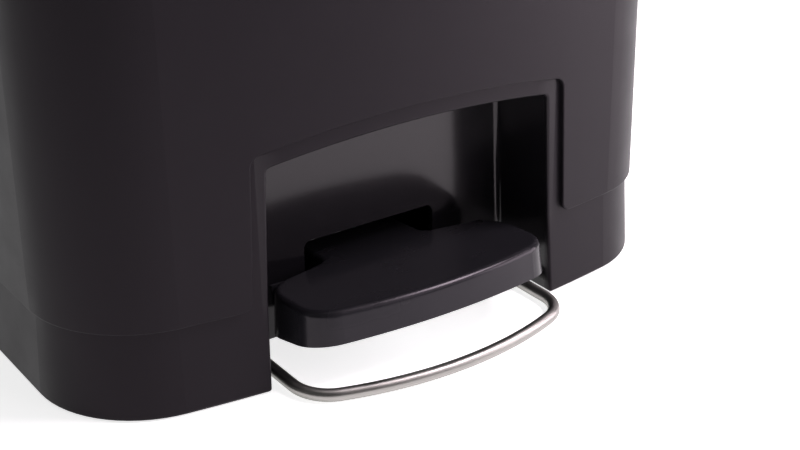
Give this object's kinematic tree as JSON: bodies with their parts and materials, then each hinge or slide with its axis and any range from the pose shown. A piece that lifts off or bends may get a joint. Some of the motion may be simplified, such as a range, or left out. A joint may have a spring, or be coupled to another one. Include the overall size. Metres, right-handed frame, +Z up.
{
  "type": "pedal trash can",
  "caption": "Tall black moulded kitchen trash can with a T-shaped foot pedal in a front recess, a steel anti-tip loop, a rear-hinged lid and a lift-out bucket.",
  "frame": {"origin": "centre of the whole can's footprint box, at floor level", "axes": "+X to the right seen from the front, +Y from the front (pedal side) to the rear hinge, +Z up"},
  "size_m": [0.3898, 0.354, 0.636],
  "materials": {
    "body_plastic": "moulded polypropylene, charcoal black, semi-gloss",
    "base_plastic": "moulded polypropylene, black, matt",
    "pedal_plastic": "moulded polypropylene, black, satin",
    "collar_plastic": "moulded polypropylene, black, semi-gloss",
    "lid_plastic": "moulded polypropylene, black, semi-gloss",
    "liner_plastic": "moulded polypropylene, black, matt",
    "bucket_plastic": "moulded polyethylene, dark grey, matt",
    "stainless_wire": "satin stainless wire",
    "plated_steel": "zinc-plated pressed steel",
    "axle_steel": "drawn steel rod",
    "screw_steel": "zinc-plated fasteners",
    "foot_rubber": "moulded rubber, black",
    "nylon": "natural nylon"
  },
  "bodies": {
    "can_body": {"outer_shell": "body_plastic", "base_plate": "base_plastic", "base_screws": "screw_steel", "rubber_feet": "foot_rubber", "anti_tip_loop": "stainless_wire", "loop_washers": "screw_steel", "loop_nuts": "screw_steel", "axle_brackets": "plated_steel", "bracket_screws": "screw_steel", "pedal_axle": "axle_steel", "axle_clips": "screw_steel", "lever_buffer": "foot_rubber", "rod_guides": "nylon", "guide_screws": "screw_steel", "rod_guard": "base_plastic", "bucket_shelf": "base_plastic", "shelf_screws": "screw_steel", "collar_ring": "collar_plastic", "hinge_pins": "axle_steel"},
    "pedal": {"pedal_tread": "pedal_plastic", "pedal_lever": "plated_steel", "tread_screws": "screw_steel", "lever_bushes": "nylon"},
    "rod": {"push_rod": "axle_steel", "rod_clips": "screw_steel"},
    "lid": {"lid_shell": "lid_plastic", "lid_liner": "liner_plastic", "liner_screws": "screw_steel", "lid_crank": "plated_steel", "crank_screws": "screw_steel", "lid_bumpers": "foot_rubber"},
    "bucket": {"inner_bucket": "bucket_plastic"}
  },
  "joints": [
    {"name": "pedal_hinge", "type": "hinge", "parent": "can_body", "child": "pedal", "pos_m": [0, -0.04175, 0.033], "axis": [1, 0, 0], "range_deg": [0, 9.5]},
    {"name": "rod_slide", "type": "slide", "parent": "can_body", "child": "rod", "axis": [0, 0, 1], "range_m": [0, 0.032]},
    {"name": "lid_hinge", "type": "hinge", "parent": "can_body", "child": "lid", "pos_m": [0, 0.17105, 0.592], "axis": [-1, 0, 0], "range_deg": [0, 80]},
    {"name": "bucket_lift", "type": "slide", "parent": "can_body", "child": "bucket", "axis": [0, 0, 1], "range_m": [0, 0.01]}
  ],
  "couplings": [
    {"joint": "rod_slide", "follows": "pedal_hinge", "m_per_rad": 0.1922},
    {"joint": "lid_hinge", "follows": "pedal_hinge", "ratio": 8.42}
  ]
}
